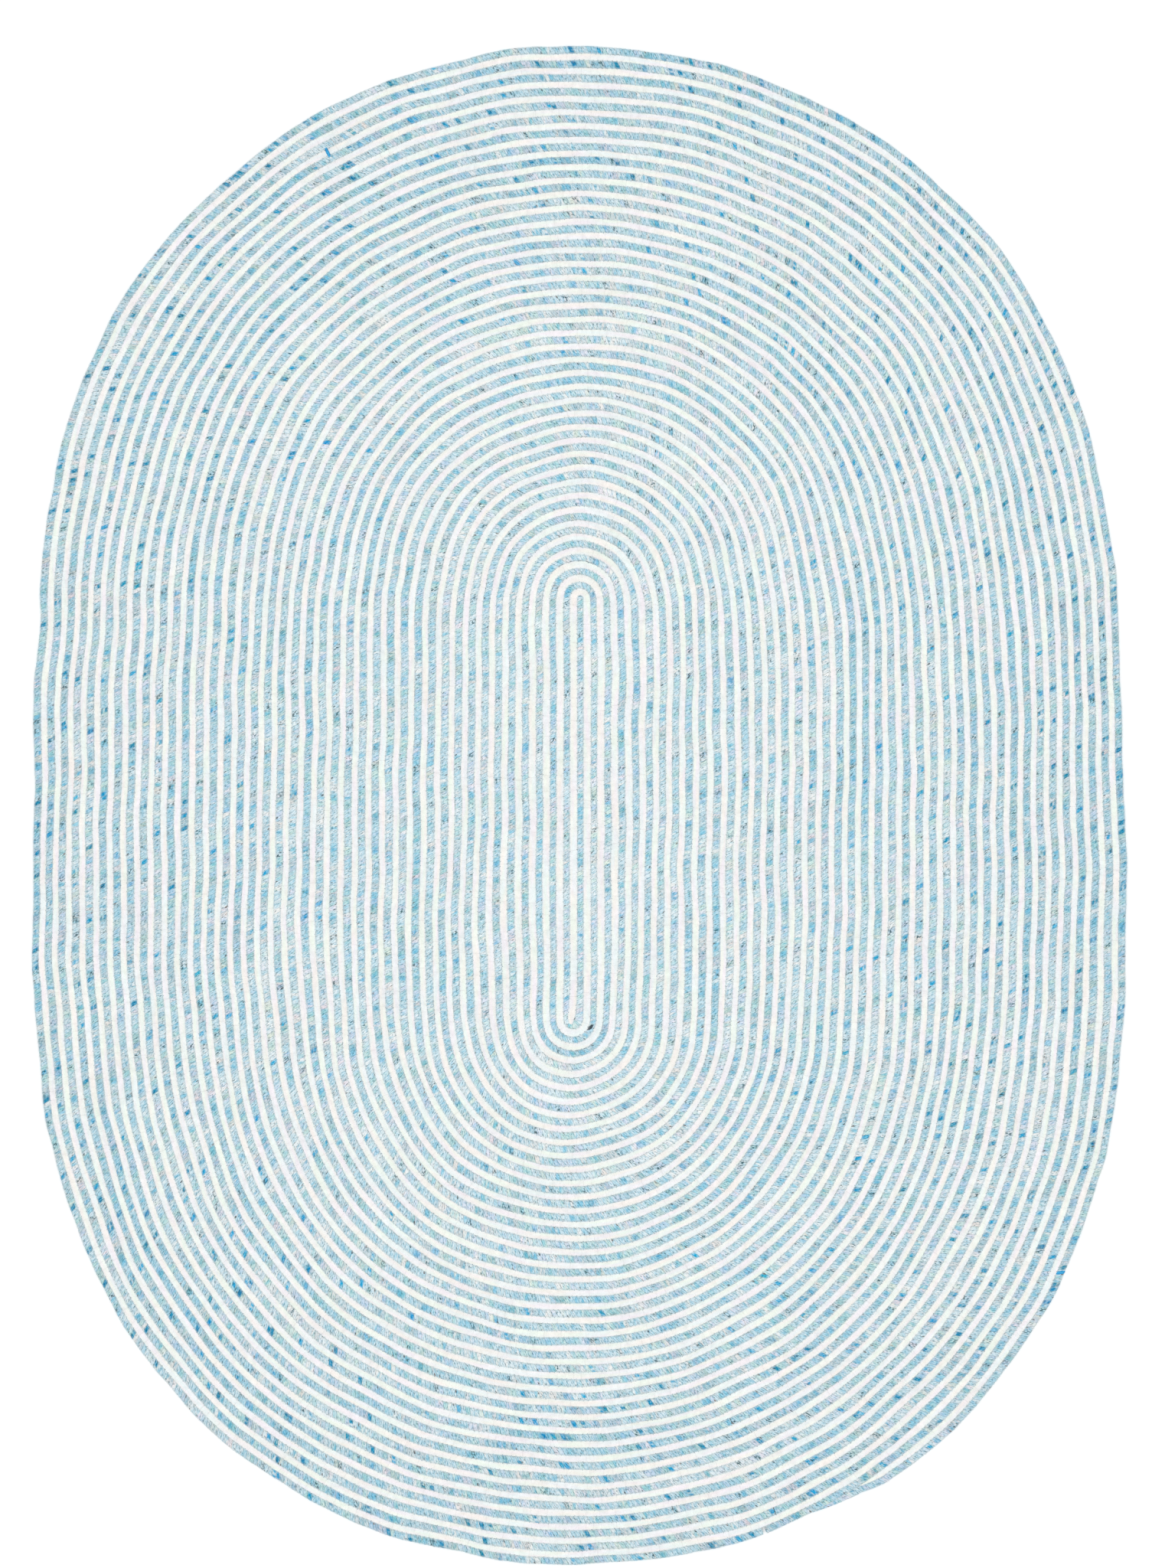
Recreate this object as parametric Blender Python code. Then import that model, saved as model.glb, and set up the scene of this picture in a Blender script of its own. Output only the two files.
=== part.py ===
"""Oval braided rug: a heathered blue cord and an ivory cord wound side by side around a straight core.

Each cord is one ribbon-like solid that runs out of the core in bends and straights. A bend is half a
circle about one of two centres, the head at +Y or the foot at -Y, and each bend is one cord step wider
than the bend before it, so that the blue and the ivory rounds lie against each other all the way.
Seen from above both cords wind clockwise. The blue cord starts at the head and the ivory cord at the
foot. Both are cut once: the ivory cord near the outer edge, the blue cord where its edge round begins.

Units are metres, +Z is up, and the origin is the middle of the underside.
"""

import math
from typing import NamedTuple

import bpy
import numpy as np

# Driving dimensions
ROUNDS = 40  # times that each cord goes round
PAIR_PITCH = 0.01896  # a blue strip and the ivory strip beside it
SEAM_GAP = 0.0003  # between neighbouring strips
BLUE_WIDTH = 0.0099
CORE_RUN = 0.5870  # from the head centre to the foot centre, along Y
BLUE_HEIGHT = 0.0090
IVORY_HEIGHT = 0.0086
CROWN_SHARE = 0.62  # width of a strip's flat top, as a share of its foot

# How finely the curves are cut
BEND_STEPS = 12  # facets in each half circle
RUN_STEPS = 2  # facets in each straight run, outside the core
CORE_BENDS = 16  # straight runs up to this bend are one facet

# Values that follow from the driving dimensions
CORD_STEP = PAIR_PITCH / 2
IVORY_WIDTH = PAIR_PITCH - BLUE_WIDTH - 2 * SEAM_GAP
BEND_ANGLE = math.pi / BEND_STEPS
LAST_BLUE_BEND = 2 * ROUNDS + 1
LAST_IVORY_BEND = 2 * ROUNDS
OUTER_REACH = LAST_BLUE_BEND * CORD_STEP
HEAD = np.array([CORD_STEP / 2, CORE_RUN / 2])
FOOT = np.array([-CORD_STEP / 2, -CORE_RUN / 2])

# The hand-wound rounds stand out from a true oval. The rows are the turning points of that, on the way
# once round: 0 to 180 is the head bend, to 240 the right run, to 420 the foot bend, to 480 the left run
STAND_OUT = (
    # way, edge_mm at the outer edge, middle_mm more for the rounds halfway out
    (0, -9, 1),
    (9, -11, -2),
    (42, 3, 0),
    (75, 8, -2),
    (88, 8, -1),
    (127, 3, 0),
    (135, 0, -1),
    (167, -19, -2),
    (196, -7, 5),
    (222, -1, 0),
    (231, -3, 0),
    (245, -9, -2),
    (303, 11, -4),
    (312, 13, -4),
    (328, 7, 1),
    (366, 13, 0),
    (413, -6, -1),
    (431, 1, 4),
    (463, 1, 0),
)
BEND_WAY = 180
RUN_WAY = 60
WHOLE_WAY = 2 * (BEND_WAY + RUN_WAY)

# Where the cords are cut, as degrees along the bend that holds the cut
IVORY_CUT_BEND = 75
IVORY_CUT_DEG = 60.5
IVORY_CUT_GAP = 0.005
BLUE_CUT_BEND = 79
BLUE_CUT_DEG = 69.5
BLUE_CUT_GAP = 0.003

# The narrowed starts in the core: how far each goes past its centre, and its share of the width there
CORE_END_PAST = 0.0030
CORE_END_SHARE = 0.55

# The outer ends, on each cord's last bend: the share of its width left, one cord after the other
OUTER_ENDS = (
    # along_deg, ivory_share, blue_share
    (0.0, 1.00, 1.00),
    (42.0, 1.00, 1.00),
    (53.0, 0.60, 0.95),
    (57.8, 0.20, 0.90),
    (60.5, 0.00, 0.70),
    (63.5, 0.00, 0.25),
)

BLUE = (0.456, 0.631, 0.701, 1.0)
IVORY = (0.880, 0.890, 0.860, 1.0)
CORD_ROUGHNESS = 0.9


class Station(NamedTuple):
    """A cross-section: the corner before it, its part of the facet there, and the strip's place and width."""

    centre_x: float
    centre_y: float
    angle: float
    way: float
    part: float
    reach: float
    width_share: float


def make_material(name, colour):
    """A matt yarn finish."""
    material = bpy.data.materials.new(name)
    material.use_nodes = True
    shader = material.node_tree.nodes["Principled BSDF"]
    shader.inputs["Base Color"].default_value = colour
    shader.inputs["Roughness"].default_value = CORD_ROUGHNESS
    shader.inputs["Metallic"].default_value = 0.0
    material.diffuse_color = colour
    return material


def stand_out(way):
    """How far the edge and the middle rounds stand out: an even swing from each row to the next."""
    rows = np.array([*STAND_OUT, (WHOLE_WAY, *STAND_OUT[0][1:])], float)
    ways, out_mm = rows[:, 0], rows[:, 1:]
    row = np.clip(np.searchsorted(ways, way, side="right") - 1, 0, len(ways) - 2)
    part = (way - ways[row]) / (ways[row + 1] - ways[row])
    swing = part**2 * (3 - 2 * part)
    return (out_mm[row] + (out_mm[row + 1] - out_mm[row]) * swing[:, None]).T / 1000


def place_points(centres, angles, ways, reach):
    """Points at a reach from each centre, moved in or out by the rug's unevenness.

    A strip at a share of the whole reach moves by that share of the edge's stand-out, plus the middle
    rounds' own, which counts in full halfway out and not at all at the core and the edge.
    """
    share = np.clip(reach / OUTER_REACH, 0, 1)
    edge, middle = stand_out(ways % WHOLE_WAY)
    moved = reach + share * edge + 4 * share * (1 - share) * middle
    return centres + np.column_stack([np.cos(angles), np.sin(angles)]) * moved[:, None]


def bend_at_head(is_blue, bend):
    """Blue bends alternate from the foot and ivory bends from the head."""
    return (bend % 2 == 0) == is_blue


def bend_station(is_blue, bend, along, width_share=1.0, inset=0.0):
    """A cross-section on a bend. Between two corners it lies on the straight facet that joins them."""
    at_head = bend_at_head(is_blue, bend)
    centre = HEAD if at_head else FOOT
    within = along % BEND_ANGLE
    corner = along - within
    part = (1 + math.tan(within - BEND_ANGLE / 2) / math.tan(BEND_ANGLE / 2)) / 2
    angle = math.pi - corner if at_head else -corner
    way = math.degrees(corner) + (0 if at_head else BEND_WAY + RUN_WAY)
    return Station(*centre, angle, way, part, bend * CORD_STEP - inset, width_share)


def run_stations(is_blue, bend):
    """The cross-sections inside the straight run that follows a bend."""
    at_head = bend_at_head(is_blue, bend)
    start, end = (HEAD, FOOT) if at_head else (FOOT, HEAD)
    angle, way = (0.0, BEND_WAY) if at_head else (math.pi, WHOLE_WAY - RUN_WAY)
    steps = RUN_STEPS if bend > CORE_BENDS else 1
    stations = []
    for part in np.arange(1, steps) / steps:
        y = start[1] + (end[1] - start[1]) * part
        stations.append(Station(start[0], y, angle, way + RUN_WAY * part, 0.0, bend * CORD_STEP, 1.0))
    return stations


def core_stations(is_blue):
    """The start of a cord: its narrowed end, then its first run along the core."""
    start = HEAD if is_blue else FOOT
    sign = 1 if is_blue else -1
    angle, way = (0.0, BEND_WAY) if is_blue else (math.pi, WHOLE_WAY - RUN_WAY)
    tip = Station(start[0], start[1] + sign * CORE_END_PAST, angle, way, 0.0, 0.0, CORE_END_SHARE)
    full = Station(start[0], start[1], angle, way, 0.0, 0.0, 1.0)
    return [tip, full, *run_stations(is_blue, 0)]


def wound_stations(is_blue, first_bend, final_bend, first_along=0.0, final_along=math.pi):
    """The cross-sections from an angle on one bend to an angle on another; whole bends end in a run."""
    stations = []
    for bend in range(first_bend, final_bend + 1):
        low = first_along if bend == first_bend else 0.0
        high = final_along if bend == final_bend else math.pi
        corners = [k * BEND_ANGLE for k in range(BEND_STEPS + 1)]
        inner = [a for a in corners if low < a < high]
        stations += [bend_station(is_blue, bend, a) for a in [low, *inner, high]]
        if high == math.pi:
            stations += run_stations(is_blue, bend)
    return stations


def cut_angles(bend, along_deg, gap):
    """The angles at which the cord ends before a cut and goes on after it."""
    half = gap / 2 / (bend * CORD_STEP)
    return math.radians(along_deg) - half, math.radians(along_deg) + half


def last_bend(is_blue):
    """The bend where the ivory strip thins out and the blue one closes over its end."""
    along, ivory_share, blue_share = np.array(OUTER_ENDS).T
    end = along[-1] if is_blue else along[ivory_share > 0][-1]
    corners = np.degrees(BEND_ANGLE) * np.arange(BEND_STEPS)
    every = np.unique(np.append(along, corners).round(6))
    stations = []
    for along_deg in every[every <= end]:
        ivory_left = np.interp(along_deg, along, ivory_share)
        left = np.interp(along_deg, along, blue_share) if is_blue else ivory_left
        inset = (1 - left) * (BLUE_WIDTH if is_blue else IVORY_WIDTH) / 2
        if is_blue:
            inset += (1 - ivory_left) * (IVORY_WIDTH + SEAM_GAP)
        bend = LAST_BLUE_BEND if is_blue else LAST_IVORY_BEND
        stations.append(bend_station(is_blue, bend, math.radians(along_deg), left, inset))
    return stations


def cord_sections(stations, width, height):
    """The four corners of each cross-section: flat foot, sloping sides and a narrower flat top."""
    centre_x, centre_y, angle, way, part, reach, share = np.array(stations).T
    centres = np.column_stack([centre_x, centre_y])
    half = width * share / 2
    crown = CROWN_SHARE * half
    sides = []
    for offset, level in ((-half, 0.0), (half, 0.0), (crown, height), (-crown, height)):
        corner = place_points(centres, angle, way, reach + offset)
        next_corner = place_points(centres, angle - BEND_ANGLE, way + BEND_WAY / BEND_STEPS, reach + offset)
        flat = corner + (next_corner - corner) * part[:, None]
        sides.append(np.column_stack([flat, np.full(len(flat), level)]))
    return np.stack(sides, axis=1)


def add_cord(name, material, sections, shift):
    """Skins the cross-sections into one closed solid, with an end face at each end."""
    count, corners, _ = sections.shape
    points = sections.reshape(-1, 3) + [*shift, 0.0]
    ring = np.arange(corners)
    after = (ring + 1) % corners
    first = np.arange(count - 1)[:, None] * corners
    walls = np.stack([first + ring, first + after, first + corners + after, first + corners + ring], axis=-1)
    faces = walls.reshape(-1, 4).tolist()
    faces.append(ring[::-1].tolist())
    faces.append((ring + (count - 1) * corners).tolist())
    mesh = bpy.data.meshes.new(name)
    mesh.from_pydata(points.tolist(), [], faces)
    mesh.materials.append(material)
    mesh.update()
    cord = bpy.data.objects.new(name, mesh)
    bpy.context.scene.collection.objects.link(cord)
    return cord


def build_rug():
    """Makes the four lengths of cord, centred on the origin."""
    ivory_back, ivory_on = cut_angles(IVORY_CUT_BEND, IVORY_CUT_DEG, IVORY_CUT_GAP)
    blue_back, blue_on = cut_angles(BLUE_CUT_BEND, BLUE_CUT_DEG, BLUE_CUT_GAP)
    blue = make_material("blue_yarn", BLUE)
    ivory = make_material("ivory_yarn", IVORY)
    blue_size, ivory_size = (BLUE_WIDTH, BLUE_HEIGHT), (IVORY_WIDTH, IVORY_HEIGHT)
    lengths = {
        "blue_cord": (
            blue,
            blue_size,
            core_stations(True) + wound_stations(True, 1, BLUE_CUT_BEND, final_along=blue_back),
        ),
        "ivory_cord": (
            ivory,
            ivory_size,
            core_stations(False) + wound_stations(False, 1, IVORY_CUT_BEND, final_along=ivory_back),
        ),
        "ivory_outer_cord": (
            ivory,
            ivory_size,
            wound_stations(False, IVORY_CUT_BEND, LAST_IVORY_BEND - 1, ivory_on) + last_bend(False),
        ),
        "blue_edge_cord": (
            blue,
            blue_size,
            wound_stations(True, BLUE_CUT_BEND, LAST_BLUE_BEND - 1, blue_on) + last_bend(True),
        ),
    }
    sections = {name: cord_sections(table, *size) for name, (_, size, table) in lengths.items()}
    every = np.concatenate([s.reshape(-1, 3) for s in sections.values()])
    middle = (every.min(axis=0) + every.max(axis=0))[:2] / 2
    for name, (material, _, _) in lengths.items():
        add_cord(name, material, sections[name], -middle)


def clear_scene():
    """Removes whatever objects the open file holds."""
    for item in list(bpy.data.objects):
        bpy.data.objects.remove(item, do_unlink=True)


clear_scene()
build_rug()
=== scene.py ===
"""Oval rug of two cords, wound side by side around a straight core and sewn edge to edge.

One cord is roped from three plies of heathered blue yarn, the other is smooth and ivory. Each cord follows
a winding of half-circle bends about two centres, joined by straight runs, and each bend is one cord step
wider than the one before. A cord is a rounded section carried along that winding. The blue cord's rows of
points lean along the lay of its plies, so that every ply stands up as a ridge with a groove beside it.

Sizes are metres in the frame of the solids: +Z is up, +Y runs along the rug and the floor is at z = 0.
"""

from __future__ import annotations

import logging
import math
from dataclasses import dataclass
from enum import Enum

import bpy
import numpy as np
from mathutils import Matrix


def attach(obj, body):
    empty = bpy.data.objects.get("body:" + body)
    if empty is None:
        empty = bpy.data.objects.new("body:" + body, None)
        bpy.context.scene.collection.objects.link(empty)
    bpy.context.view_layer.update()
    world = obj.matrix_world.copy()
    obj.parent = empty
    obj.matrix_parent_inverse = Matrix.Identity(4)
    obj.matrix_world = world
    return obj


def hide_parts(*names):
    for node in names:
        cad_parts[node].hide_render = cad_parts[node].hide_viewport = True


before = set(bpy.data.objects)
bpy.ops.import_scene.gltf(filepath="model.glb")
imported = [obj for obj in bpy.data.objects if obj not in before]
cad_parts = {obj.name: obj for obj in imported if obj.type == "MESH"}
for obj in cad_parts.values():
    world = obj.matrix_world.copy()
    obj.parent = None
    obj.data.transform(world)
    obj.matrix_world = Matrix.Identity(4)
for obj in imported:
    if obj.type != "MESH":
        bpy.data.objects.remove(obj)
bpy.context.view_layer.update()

LOG = logging.getLogger("rug")

Colour = tuple[float, float, float, float]
Array = np.ndarray

# Columns of a winding's table of stretches
IS_BEND, REACH = 5, 7

# The hand-wound rounds stand out from a true oval. The rows are the turning points of that, on the way
# once round: 0 to 180 is the head bend, to 240 the right run, to 420 the foot bend, to 480 the left run
STAND_OUT = (
    # way, edge_mm at the outer edge, middle_mm more for the rounds halfway out
    (0, -9, 1),
    (9, -11, -2),
    (42, 3, 0),
    (75, 8, -2),
    (88, 8, -1),
    (127, 3, 0),
    (135, 0, -1),
    (167, -19, -2),
    (196, -7, 5),
    (222, -1, 0),
    (231, -3, 0),
    (245, -9, -2),
    (303, 11, -4),
    (312, 13, -4),
    (328, 7, 1),
    (366, 13, 0),
    (413, -6, -1),
    (431, 1, 4),
    (463, 1, 0),
)

# The outer ends, on each cord's last bend: the share of its width left, one cord after the other
OUTER_ENDS = (
    # along_deg, ivory_share, blue_share
    (0.0, 1.00, 1.00),
    (50.0, 1.00, 1.00),
    (54.0, 0.92, 1.00),
    (56.0, 0.80, 1.00),
    (57.6, 0.36, 1.00),
    (58.6, 0.06, 1.00),
    (60.0, 0.00, 0.95),
    (61.8, 0.00, 0.60),
    (63.9, 0.00, 0.15),
)

# A cord's section, from under its inner edge over the top to under its outer edge. Cords sewn this tight
# press each other's sides nearly upright
SECTION = (
    # share_of_half_width, share_of_height
    (-0.86, 0.00),
    (-1.00, 0.91),
    (-0.95, 0.965),
    (-0.70, 1.00),
    (0.70, 1.00),
    (0.95, 0.965),
    (1.00, 0.91),
    (0.86, 0.00),
)


def display(red: float, green: float, blue: float) -> Colour:
    """A colour read off a screen, 0 to 255 a channel, as linear light."""
    channels = np.array([red, green, blue]) / 255
    light = np.where(channels <= 0.04045, channels / 12.92, ((channels + 0.055) / 1.055) ** 2.4)
    return (float(light[0]), float(light[1]), float(light[2]), 1.0)


def even_swing(part: Array) -> Array:
    """A share from 0 to 1 that leaves and arrives level: three times its square less twice its cube."""
    return part**2 * (3 - 2 * part)


def put(name: str, data: bpy.types.ID) -> bpy.types.Object:
    """Puts a mesh, a light or a camera into the scene, at the origin."""
    placed = bpy.data.objects.new(name, data)
    bpy.context.scene.collection.objects.link(placed)
    return placed


class Yarn(Enum):
    """The two cords, by the record's material slot."""

    BLUE = "blue_yarn"
    IVORY = "ivory_yarn"


# ---------------------------------------------------------------------------------------------------------
# Where the cords run


@dataclass(frozen=True)
class Wander:
    """The small sideways drift of hand-laid strips, shared by whatever lies at the same place.

    It is a sum of sine waves that cross the floor in spread-out directions. Each wave moves points along a
    direction of its own, by its height times the sine of the place along the wave.
    """

    waves: int = 14
    longest: float = 0.260
    shortest: float = 0.034
    share_of_length: float = 0.0042
    heading_step: float = 2.4
    heading_scatter: float = 0.4
    half_core: float = 0.29
    core_calm: float = 0.060

    def move(self, places: Array) -> Array:
        """How far each place drifts.

        Args:
            places: x and y of each point, in the last axis.

        Returns:
            The drift in x and y, in metres, fading to nothing at the core.
        """
        chance = np.random.default_rng(11)
        lengths = np.geomspace(self.longest, self.shortest, self.waves)
        scatter = chance.uniform(-self.heading_scatter, self.heading_scatter, self.waves)
        headings = np.arange(self.waves) * self.heading_step + scatter
        starts = chance.uniform(0, 2 * math.pi, self.waves)
        pushes = chance.uniform(0, 2 * math.pi, self.waves)
        drift = np.zeros_like(places)
        for length, heading, start, push in zip(lengths, headings, starts, pushes, strict=True):
            along = places[..., 0] * math.cos(heading) + places[..., 1] * math.sin(heading)
            wave = self.share_of_length * length * np.sin(2 * math.pi * along / length + start)
            drift += wave[..., None] * np.array([math.cos(push), math.sin(push)])
        from_core = np.hypot(places[..., 0], np.maximum(np.abs(places[..., 1]) - self.half_core, 0))
        return drift * np.clip(from_core / self.core_calm, 0, 1)[..., None]


@dataclass(frozen=True)
class Winding:
    """The route of one cord out of the core, in bends and straight runs, measured along its length.

    Bend number b is half a circle of radius b times the cord step. Blue bends alternate from the foot and
    ivory bends from the head, and the straight run after a bend leads to the other centre.
    """

    yarn: Yarn
    rounds: int = 40
    pair_pitch: float = 0.01896
    core_run: float = 0.5870
    middle: tuple[float, float] = (0.00243, 0.00519)
    bend_way: float = 180.0
    run_way: float = 60.0
    wander: Wander = Wander()

    @property
    def cord_step(self) -> float:
        """How much wider each bend is than the one before it."""
        return self.pair_pitch / 2

    @property
    def last_bend(self) -> int:
        """The number of the bend where this cord ends."""
        return 2 * self.rounds + (1 if self.yarn is Yarn.BLUE else 0)

    def at_head(self, bend: int) -> bool:
        """Whether a bend goes round the head centre."""
        return (bend % 2 == 0) == (self.yarn is Yarn.BLUE)

    def stretches(self) -> Array:
        """The bends and runs as a table, one row each, in order.

        Returns:
            Columns: length before it, own length, centre x, centre y, first angle, 1 for a bend or 0 for a
            run, direction of a run along Y, reach and first way.
        """
        head = (self.cord_step / 2, self.core_run / 2)
        foot = (-self.cord_step / 2, -self.core_run / 2)
        rows: list[tuple[float, ...]] = []
        done = 0.0
        for bend in range(self.last_bend + 1):
            top = self.at_head(bend)
            centre = head if top else foot
            reach = bend * self.cord_step
            if bend:
                first = (math.pi, 0.0) if top else (0.0, self.bend_way + self.run_way)
                rows.append((done, math.pi * reach, *centre, first[0], 1.0, 0.0, reach, first[1]))
                done += math.pi * reach
            side = (0.0, -1.0, self.bend_way) if top else (math.pi, 1.0, 2 * self.bend_way + self.run_way)
            rows.append((done, self.core_run, *centre, side[0], 0.0, side[1], reach, side[2]))
            done += self.core_run
        return np.array(rows)

    def at(self, lengths: Array) -> Array:
        """The row of the table of stretches that each length falls in."""
        table = self.stretches()
        return table[np.clip(np.searchsorted(table[:, 0], lengths, side="right") - 1, 0, len(table) - 1)]

    def length_at(self, bend: int, along_deg: float) -> float:
        """The cord's length from its start to an angle along a bend."""
        before = sum(math.pi * b * self.cord_step + self.core_run for b in range(1, bend))
        return self.core_run + before + math.radians(along_deg) * bend * self.cord_step

    def stand_out(self, way: Array) -> tuple[Array, Array]:
        """How far the rounds stand out from a true oval: an even swing from each row to the next.

        Args:
            way: The place on the way once round.

        Returns:
            The outer edge's stand-out, and what the rounds halfway out have more, in metres.
        """
        rows = np.array([*STAND_OUT, (2 * (self.bend_way + self.run_way), *STAND_OUT[0][1:])], float)
        ways, out_mm = rows[:, 0], rows[:, 1:]
        row = np.clip(np.searchsorted(ways, way, side="right") - 1, 0, len(ways) - 2)
        part = (way - ways[row]) / (ways[row + 1] - ways[row])
        out = (out_mm[row] + (out_mm[row + 1] - out_mm[row]) * even_swing(part)[..., None]) / 1000
        return out[..., 0], out[..., 1]

    def place(self, lengths: Array, offsets: Array) -> Array:
        """Points on the floor beside the cord's middle line.

        A point is the stretch's centre plus the outward direction times the reach. At a share of the whole
        reach it moves out by that share of the edge's stand-out, plus the middle rounds' own, which counts
        in full halfway out and not at all at the core and the edge. The wander then moves the point.

        Args:
            lengths: Length along the cord of each point.
            offsets: How far each point lies outwards of the middle line, in the same shape.

        Returns:
            x and y in the last axis.
        """
        stretch = np.moveaxis(self.at(lengths), -1, 0)
        before, own, centre_x, centre_y, first, is_bend, run_side, reach, way = stretch
        along = lengths - before
        angle = first - is_bend * along / own * math.pi
        way = way + along / own * np.where(is_bend == 1, self.bend_way, self.run_way)
        edge, middle = self.stand_out(way % (2 * (self.bend_way + self.run_way)))
        far = reach + offsets
        share = np.clip(far / ((2 * self.rounds + 1) * self.cord_step), 0, 1)
        far = far + share * edge + 4 * share * (1 - share) * middle
        x = centre_x + np.cos(angle) * far
        y = centre_y + run_side * along + np.sin(angle) * far
        places = np.stack([x, y], axis=-1) - np.array(self.middle)
        return places + self.wander.move(places)


# ---------------------------------------------------------------------------------------------------------
# The cords' shape


@dataclass(frozen=True)
class Cord:
    """One cord's section and surface, and the way its ends are shaped.

    The section's points swell and shrink a little along the cord, by a sum of sine waves whose table gives
    each wave's length and start. On a roped cord the surface sinks from each ply's crest to the groove
    beside it by the relief times how far the point is from the crest. The plies climb round the section
    once every lay.
    """

    winding: Winding
    width: float
    height: float
    plies: int = 0
    ply_pitch: float = 0.0064
    relief: float = 0.00042
    start_widths: tuple[tuple[float, float], ...] = ((-0.0030, 0.90), (0.0, 1.08), (0.006, 1.00))
    start_lean: float = 0.0
    start_rise: float = 0.0
    start_reach: float = 0.050
    core_fill: tuple[tuple[float, float], ...] = ((0.0, 0.0),)
    core_extra: float = 0.0
    core_reach: float = 0.20
    row_step: float = 0.012
    shortest_row: float = 0.002
    fine_step: float = 0.001
    tight_row_share: float = 0.25
    end_row: float = 0.0012
    end_growth: float = 0.15
    swell: float = 0.026
    swell_waves: tuple[tuple[float, float], ...] = ((0.093, 1.0), (0.0417, 0.0), (0.0233, 0.0))
    seam_gap: float = 0.0003
    beside_width: float = 0.0

    @property
    def lay(self) -> float:
        """The length in which a ply goes once round, or 0 on a smooth cord."""
        return self.plies * self.ply_pitch

    def section(self) -> Array:
        """The section's points at full size: outward offset and height, one row each."""
        return np.array(SECTION) * [self.width / 2, self.height]

    def edges(self) -> Array:
        """The section's edges, from each point to the next and from the last to the first."""
        points = self.section()
        return np.roll(points, -1, axis=0) - points

    def round_shares(self) -> Array:
        """How far round the section each point is, from 0 to 1, with the first point again at the end."""
        sizes = np.linalg.norm(self.edges(), axis=1)
        return np.concatenate([[0.0], np.cumsum(sizes)]) / sizes.sum()

    def crown_middle(self) -> float:
        """How far round the section the middle of its top is."""
        shares = self.round_shares()
        return float(shares[3] + shares[4]) / 2

    def girth(self) -> float:
        """The length once round the section."""
        return float(np.linalg.norm(self.edges(), axis=1).sum())

    def outward(self) -> Array:
        """The direction out of the section at each point, halfway between its two edges' normals."""
        edges = self.edges()
        normals = np.column_stack([-edges[:, 1], edges[:, 0]])
        normals /= np.linalg.norm(normals, axis=1)[:, None]
        both = normals + np.roll(normals, 1, axis=0)
        return both / np.linalg.norm(both, axis=1)[:, None]

    def breadth(self, lengths: Array) -> Array:
        """The share of the full width at each length: it reaches 1 where the core's rounds end."""
        reach = self.winding.at(lengths)[..., REACH] + self.winding.cord_step / 2
        out = np.clip(reach / self.core_reach, 0, 1)
        return 1 + self.core_extra / self.width * (1 - even_swing(out))

    def narrowing(self, lengths: Array) -> tuple[Array, Array]:
        """The share of the width left, and the shift inwards, where the cord starts and ends.

        Args:
            lengths: Length along the cord of each point.

        Returns:
            The width share and the inward shift in metres.
        """
        along, ivory_share, blue_share = np.array(OUTER_ENDS).T
        blue = self.winding.yarn is Yarn.BLUE
        last = self.winding.last_bend
        ends = np.array([self.winding.length_at(last, deg) for deg in along])
        left = np.interp(lengths, ends, blue_share if blue else ivory_share)
        shift = (1 - left) * self.width / 2
        if blue:
            shift = shift + (1 - np.interp(lengths, ends, ivory_share)) * (self.beside_width + self.seam_gap)
        along, share = np.array(self.start_widths).T
        shift = shift - self.start_lean * self.by_start(lengths)
        return left * np.interp(lengths, along, share) * self.breadth(lengths), shift

    def by_start(self, lengths: Array) -> Array:
        """How near each length is to the cord's start: 1 there, falling to 0 with the square."""
        return np.clip(1 - lengths / self.start_reach, 0, 1) ** 2

    def fill(self, lengths: Array) -> Array:
        """How much further in the inner side reaches by the first bend, to close the core."""
        past, amount = np.array(self.core_fill).T
        return np.interp(lengths - self.winding.core_run, past, amount)

    def skin(self, lengths: Array, shares: Array, scale: Array | float = 1.0) -> Array:
        """Points on the cord's surface.

        Args:
            lengths: Length along the cord of each point.
            shares: Each point's column in the section, as an index.
            scale: Share of the section's size, less than 1 inside an end.

        Returns:
            x, y and z in the last axis.
        """
        points, outward, rounds = self.section(), self.outward(), self.round_shares()
        left, shift = self.narrowing(lengths)
        turn = 2 * math.pi * lengths
        waves = sum(np.sin(turn / wave + start) for wave, start in self.swell_waves)
        swell = 1 + self.swell * waves / 2
        dip = np.zeros_like(lengths)
        if self.plies:
            ply = (lengths + self.lay * rounds[shares]) / self.ply_pitch
            dip = 2 * np.abs(ply - np.round(ply)) * self.relief
        middle = self.height / 2
        offset = (points[shares, 0] * swell - outward[shares, 0] * dip) * left * scale - shift
        offset = offset - (points[shares, 0] < 0) * self.fill(lengths)
        level = middle + (points[shares, 1] - middle - outward[shares, 1] * dip) * scale
        level = np.maximum(level * (1 + (swell - 1) * 0.5 + self.start_rise * self.by_start(lengths)), 0)
        return np.concatenate([self.winding.place(lengths, offset), level[..., None]], axis=-1)

    def rows(self, start: float, end: float) -> Array:
        """The lengths at which the cord's rows of points cross its first column.

        Args:
            start: Where the stretch begins.
            end: Where it ends.

        Returns:
            Even half ply pitches on a roped cord. On a smooth one, steps that shorten in tight bends and by
            the cord's start and tip, read off the running count of steps.
        """
        if self.plies:
            half = self.ply_pitch / 2
            return np.arange(math.floor(start / half) - 1, math.ceil((end + self.lay) / half) + 2) * half
        fine = np.linspace(start, end, max(int((end - start) / self.fine_step), 8))
        stretch = self.winding.at(fine)
        reach = np.where(stretch[:, IS_BEND] == 1, stretch[:, REACH], 1.0)
        tip = self.winding.length_at(self.winding.last_bend, OUTER_ENDS[5][0])
        by_end = self.end_row + self.end_growth * np.minimum(np.abs(fine), np.abs(fine - tip))
        step = np.minimum(np.clip(reach * self.tight_row_share, self.shortest_row, self.row_step), by_end)
        count = np.concatenate([[0.0], np.cumsum(np.diff(fine) / step[1:])])
        return np.interp(np.linspace(0, count[-1], math.ceil(count[-1]) + 1), count, fine)


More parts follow.
